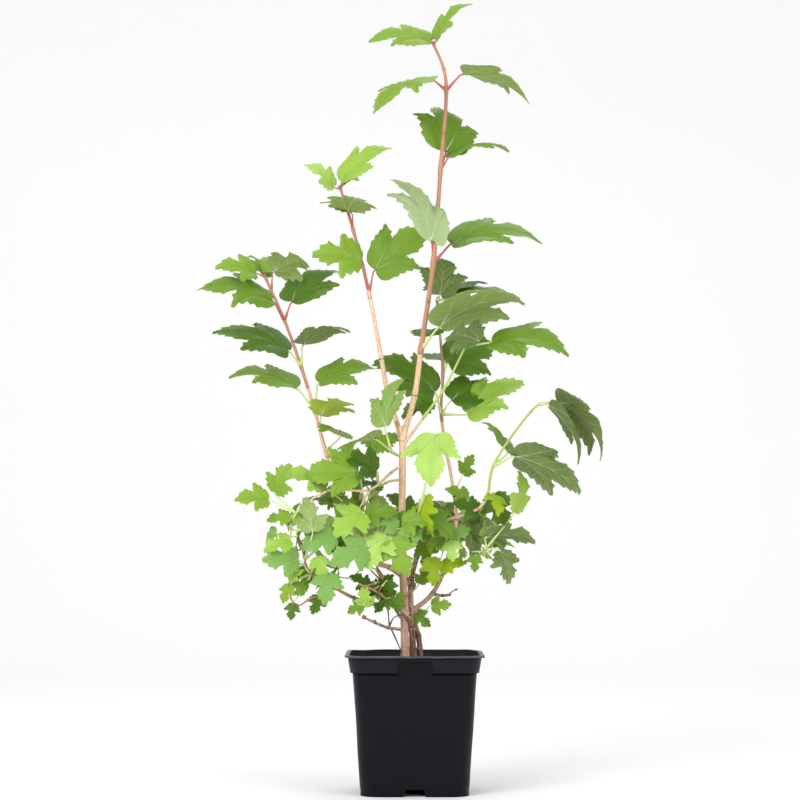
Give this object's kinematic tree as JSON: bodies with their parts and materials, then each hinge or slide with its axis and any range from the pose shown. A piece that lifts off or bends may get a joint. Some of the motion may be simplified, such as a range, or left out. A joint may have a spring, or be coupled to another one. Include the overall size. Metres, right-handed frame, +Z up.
{
  "type": "young guelder rose shrub in a square nursery pot",
  "caption": "Young multi-stemmed viburnum shrub in leaf, standing in a square black plastic nursery pot filled with potting soil.",
  "frame": {"origin": "centre of the flat underside of the pot", "axes": "+Z up along the stems, -Y towards the front of the pot and the shrub's fullest side, +X to the right"},
  "size_m": [0.4908, 0.3153, 0.9587],
  "materials": {
    "plastic": "satin black",
    "compost": "loose and matt",
    "bark": "smooth bark",
    "foliage": "satin leaves"
  },
  "bodies": {
    "root": {"pot": "plastic", "potting_soil": "compost", "main_stem": "bark", "second_stem": "bark", "third_stem": "bark", "right_bough": "bark", "left_bough": "bark", "far_left_bough": "bark", "back_bough": "bark", "arching_bough": "bark", "fork_twig": "bark", "arc_twig": "bark", "short_arc_twig": "bark", "old_branch": "bark", "low_left_twig": "bark", "bare_twig": "bark", "low_right_twig": "bark", "cut_spur": "bark", "back_left_twig": "bark", "back_right_twig": "bark", "right_shoot_low": "foliage", "right_shoot_middle": "foliage", "right_shoot_top": "foliage", "left_shoot_low": "foliage", "left_shoot_top": "foliage", "far_left_shoot_low": "foliage", "far_left_shoot_middle": "foliage", "far_left_shoot_top": "foliage", "back_shoot_low": "foliage", "back_shoot_middle": "foliage", "back_shoot_top": "foliage", "arching_shoot": "foliage", "fork_sprig": "foliage", "crotch_sprig": "foliage", "short_arc_sprig": "foliage", "arc_sprig": "foliage", "low_left_sprig": "foliage", "front_sprig": "foliage", "foot_sprig": "foliage", "spur_sprig": "foliage", "low_right_sprig": "foliage", "back_left_sprig": "foliage", "back_right_sprig": "foliage"}
  },
  "joints": []
}
